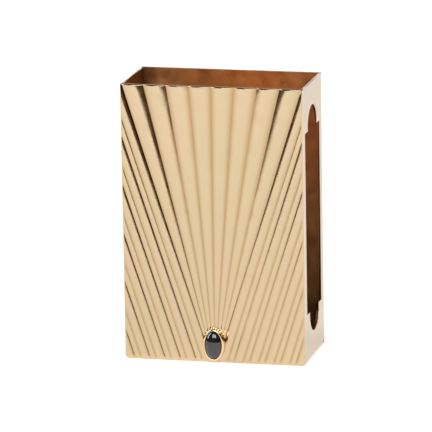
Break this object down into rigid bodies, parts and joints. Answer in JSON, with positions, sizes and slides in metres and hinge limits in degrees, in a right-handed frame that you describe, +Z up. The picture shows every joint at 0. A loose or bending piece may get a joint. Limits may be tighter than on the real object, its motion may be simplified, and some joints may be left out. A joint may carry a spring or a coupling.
{
  "type": "matchbox holder",
  "caption": "Upright open-topped sheet-metal case for a small matchbox, with a fluted sunburst front, striker windows in both sides and an oval cabochon in a collet.",
  "frame": {"origin": "middle of the base, on the surface that the case stands on", "axes": "+Z up towards the open mouth, -Y out of the fluted front, +X to the right as the front is seen"},
  "size_m": [0.038, 0.0206, 0.0578],
  "materials": {
    "fluted_gold": "polished gold, chased and fluted",
    "sheet_gold": "polished gold sheet",
    "collet_gold": "polished gold",
    "stone": "polished dark blue stone, domed"
  },
  "bodies": {
    "root": {"front_plate": "fluted_gold", "back_plate": "sheet_gold", "left_side": "sheet_gold", "right_side": "sheet_gold", "bottom_plate": "sheet_gold", "bezel_collet": "collet_gold", "bezel_seat": "collet_gold", "cabochon": "stone"}
  },
  "joints": []
}
